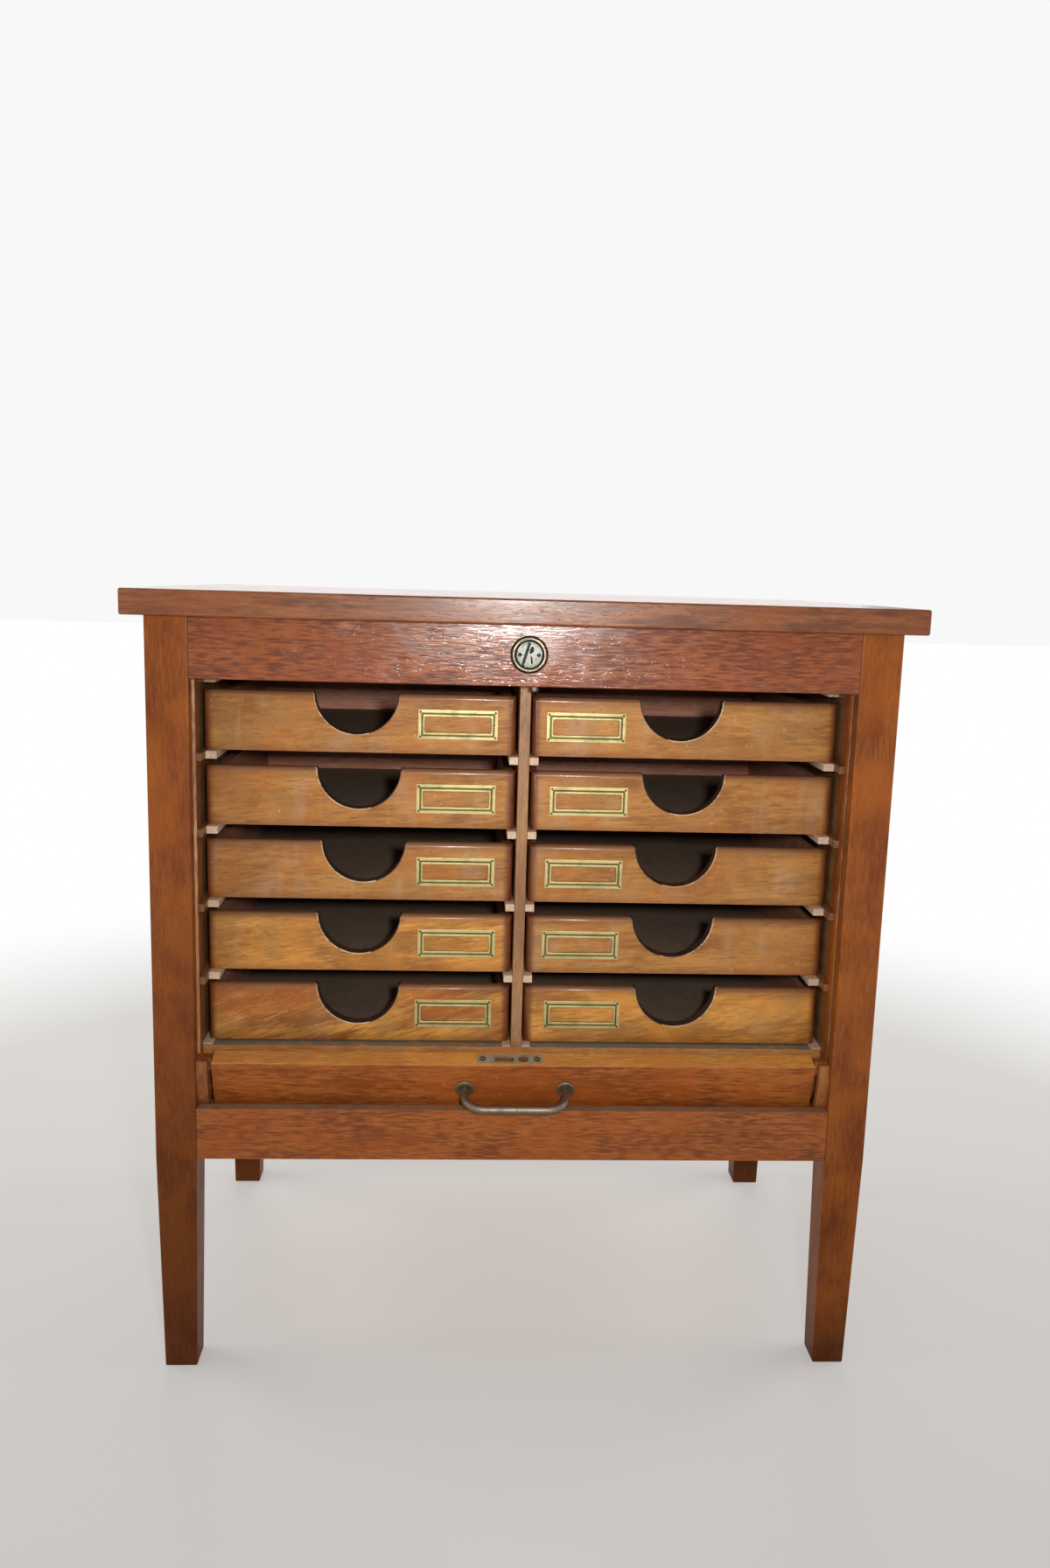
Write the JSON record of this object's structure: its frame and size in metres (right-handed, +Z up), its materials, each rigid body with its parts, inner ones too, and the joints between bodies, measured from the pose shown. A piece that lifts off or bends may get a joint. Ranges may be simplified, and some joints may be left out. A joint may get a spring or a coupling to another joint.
{
  "type": "paper tray cabinet",
  "caption": "Low wooden filing cabinet on square tapered legs: two columns of sliding paper trays with finger notches and brass label frames, closed by a roll shutter that pulls up to a lock.",
  "frame": {"origin": "on the floor, at the middle of the cabinet's bounding box", "axes": "+X to the right seen from the front, -Y out of the front, +Z up"},
  "size_m": [0.684, 0.417, 0.72],
  "materials": {
    "top_wood": "worn satin varnish",
    "case_wood": "worn satin varnish",
    "tray_wood": "scuffed satin varnish",
    "box_wood": "dark stain, matt",
    "plain_wood": "bare, dusty",
    "brass": "aged, satin",
    "bronze": "bronze-brown lacquer, worn",
    "nickel": "nickel plate, dull",
    "linen": "glued canvas"
  },
  "bodies": {
    "carcass": {"top_board": "top_wood", "front_leg_left": "case_wood", "front_leg_right": "case_wood", "back_leg_left": "case_wood", "back_leg_right": "case_wood", "top_front_rail": "case_wood", "bottom_front_rail": "case_wood", "back_rails": "case_wood", "side_rails": "case_wood", "side_panels": "case_wood", "side_boards": "plain_wood", "back_panel": "box_wood", "floor_boards": "plain_wood", "centre_divider": "case_wood", "ledgers": "case_wood", "runners": "plain_wood", "track_boards": "case_wood", "tray_stops": "plain_wood", "lock_ring": "bronze", "lock_case": "nickel", "shutter_slats": "case_wood", "shutter_canvas": "linen"},
    "lock_plug": {"lock_plug": "nickel"},
    "lock_bolt": {"lock_bolt": "nickel"},
    "guide_shoes": {"guide_shoes": "case_wood"},
    "lead_bar": {"lead_bar": "case_wood", "strike_plate": "brass", "strike_screws": "nickel", "pull_handle": "bronze", "handle_roses": "bronze"},
    "tray_left_1": {"tray_front_left_1": "tray_wood", "tray_box_left_1": "box_wood", "label_frame_left_1": "brass"},
    "tray_left_2": {"tray_front_left_2": "tray_wood", "tray_box_left_2": "box_wood", "label_frame_left_2": "brass"},
    "tray_left_3": {"tray_front_left_3": "tray_wood", "tray_box_left_3": "box_wood", "label_frame_left_3": "brass"},
    "tray_left_4": {"tray_front_left_4": "tray_wood", "tray_box_left_4": "box_wood", "label_frame_left_4": "brass"},
    "tray_left_5": {"tray_front_left_5": "tray_wood", "tray_box_left_5": "box_wood", "label_frame_left_5": "brass"},
    "tray_right_1": {"tray_front_right_1": "tray_wood", "tray_box_right_1": "box_wood", "label_frame_right_1": "brass"},
    "tray_right_2": {"tray_front_right_2": "tray_wood", "tray_box_right_2": "box_wood", "label_frame_right_2": "brass"},
    "tray_right_3": {"tray_front_right_3": "tray_wood", "tray_box_right_3": "box_wood", "label_frame_right_3": "brass"},
    "tray_right_4": {"tray_front_right_4": "tray_wood", "tray_box_right_4": "box_wood", "label_frame_right_4": "brass"},
    "tray_right_5": {"tray_front_right_5": "tray_wood", "tray_box_right_5": "box_wood", "label_frame_right_5": "brass"}
  },
  "joints": [
    {"name": "shutter_travel", "type": "slide", "parent": "carcass", "child": "guide_shoes", "axis": [0, 0, -1], "range_m": [-0.3436, 0], "deforming": ["shutter_slats", "shutter_canvas"]},
    {"name": "bar_tilt", "type": "hinge", "parent": "guide_shoes", "child": "lead_bar", "pos_m": [0, -0.17347, 0.2954], "axis": [1, 0, 0], "range_deg": [-17.5, 0]},
    {"name": "plug_turn", "type": "hinge", "parent": "carcass", "child": "lock_plug", "pos_m": [0, -0.19146, 0.6725], "axis": [0, -1, 0], "range_deg": [0, 90]},
    {"name": "bolt_throw", "type": "slide", "parent": "carcass", "child": "lock_bolt", "axis": [0, 0, -1], "range_m": [0, 0.0101]},
    {"name": "tray_left_1_slide", "type": "slide", "parent": "carcass", "child": "tray_left_1", "axis": [0, -1, 0], "range_m": [0, 0.27]},
    {"name": "tray_left_2_slide", "type": "slide", "parent": "carcass", "child": "tray_left_2", "axis": [0, -1, 0], "range_m": [0, 0.27]},
    {"name": "tray_left_3_slide", "type": "slide", "parent": "carcass", "child": "tray_left_3", "axis": [0, -1, 0], "range_m": [0, 0.27]},
    {"name": "tray_left_4_slide", "type": "slide", "parent": "carcass", "child": "tray_left_4", "axis": [0, -1, 0], "range_m": [0, 0.27]},
    {"name": "tray_left_5_slide", "type": "slide", "parent": "carcass", "child": "tray_left_5", "axis": [0, -1, 0], "range_m": [0, 0.27]},
    {"name": "tray_right_1_slide", "type": "slide", "parent": "carcass", "child": "tray_right_1", "axis": [0, -1, 0], "range_m": [0, 0.27]},
    {"name": "tray_right_2_slide", "type": "slide", "parent": "carcass", "child": "tray_right_2", "axis": [0, -1, 0], "range_m": [0, 0.27]},
    {"name": "tray_right_3_slide", "type": "slide", "parent": "carcass", "child": "tray_right_3", "axis": [0, -1, 0], "range_m": [0, 0.27]},
    {"name": "tray_right_4_slide", "type": "slide", "parent": "carcass", "child": "tray_right_4", "axis": [0, -1, 0], "range_m": [0, 0.27]},
    {"name": "tray_right_5_slide", "type": "slide", "parent": "carcass", "child": "tray_right_5", "axis": [0, -1, 0], "range_m": [0, 0.27]}
  ],
  "couplings": [
    {"joint": "bar_tilt", "follows": "shutter_travel", "rad_per_m": 0.888},
    {"joint": "bolt_throw", "follows": "plug_turn", "m_per_rad": 0.00636}
  ]
}
